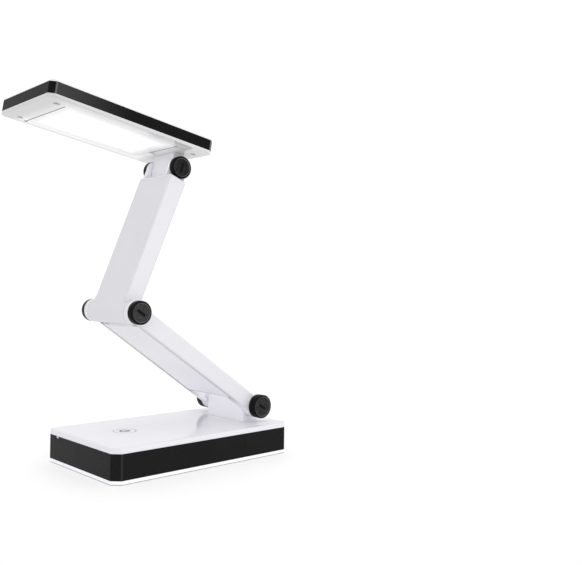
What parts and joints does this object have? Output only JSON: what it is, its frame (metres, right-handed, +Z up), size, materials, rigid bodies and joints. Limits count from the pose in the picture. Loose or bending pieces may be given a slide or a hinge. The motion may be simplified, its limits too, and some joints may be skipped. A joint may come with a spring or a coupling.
{
  "type": "folding led desk lamp",
  "caption": "Cordless folding desk lamp: flat weighted base with a touch key, two flat arms on friction hinges that nest, and a flat tilting light head.",
  "frame": {"origin": "middle of the rubber pad's underside, on the table", "axes": "+Z up; -X towards the base's free end, which lies under the light head; +X towards the base hinge and the charging socket; -Y is the near long side"},
  "size_m": [0.243, 0.118, 0.3143],
  "materials": {
    "rubber": "matt black rubber",
    "black_gloss": "glossy black plastic",
    "white_gloss": "glossy white plastic",
    "white_satin": "satin white plastic",
    "white_cover": "satin white plastic, set-in covers",
    "diffuser": "milky light diffuser",
    "reflector": "white reflecting plastic",
    "steel": "plated steel",
    "ballast": "plain steel plate",
    "cell_sleeve": "sleeved battery cell",
    "board": "solder-masked circuit board",
    "lead": "insulated flat lead",
    "led": "phosphor-coated diode",
    "spreader": "bare aluminium sheet",
    "light_pipe": "frosted light window"
  },
  "bodies": {
    "base": {"foot_pad": "rubber", "base_tray": "white_satin", "base_screws": "steel", "base_band": "black_gloss", "top_plate": "white_gloss", "ballast_plate": "ballast", "battery_cells": "cell_sleeve", "control_board": "board", "charge_socket": "steel", "charge_light": "light_pipe", "touch_sensor": "board", "hinge_post": "white_satin", "post_screws": "steel"},
    "lower_arm": {"lower_arm": "white_satin", "lower_arm_cover": "white_cover", "lower_arm_leads": "lead", "base_hinge_pin": "steel", "base_hinge_nut": "steel", "base_hinge_washers": "steel", "base_hinge_caps": "black_gloss", "elbow_pin": "steel", "elbow_nut": "steel", "elbow_washers": "steel", "elbow_caps": "black_gloss"},
    "upper_arm": {"upper_arm": "white_satin", "upper_arm_cover": "white_cover", "upper_arm_screws": "steel", "upper_arm_leads": "lead", "head_hinge_pin": "steel", "head_hinge_nut": "steel", "head_hinge_washers": "steel", "head_hinge_caps": "black_gloss"},
    "head": {"head_bezel": "white_gloss", "head_band": "black_gloss", "head_top": "white_gloss", "diffuser": "diffuser", "reflector": "reflector", "led_board": "board", "led_chips": "led", "heat_spreader": "spreader", "head_screws": "steel"}
  },
  "joints": [
    {"name": "base_hinge", "type": "hinge", "parent": "base", "child": "lower_arm", "pos_m": [0.0724, 0, 0.0445], "axis": [0, -1, 0], "range_deg": [-65, 35.5]},
    {"name": "elbow", "type": "hinge", "parent": "lower_arm", "child": "upper_arm", "pos_m": [-0.06201, 0, 0.13619], "axis": [0, -1, 0], "range_deg": [-91, 37]},
    {"name": "head_hinge", "type": "hinge", "parent": "upper_arm", "child": "head", "pos_m": [-0.0107, 0, 0.26644], "axis": [0, -1, 0], "range_deg": [-18, 77]}
  ]
}
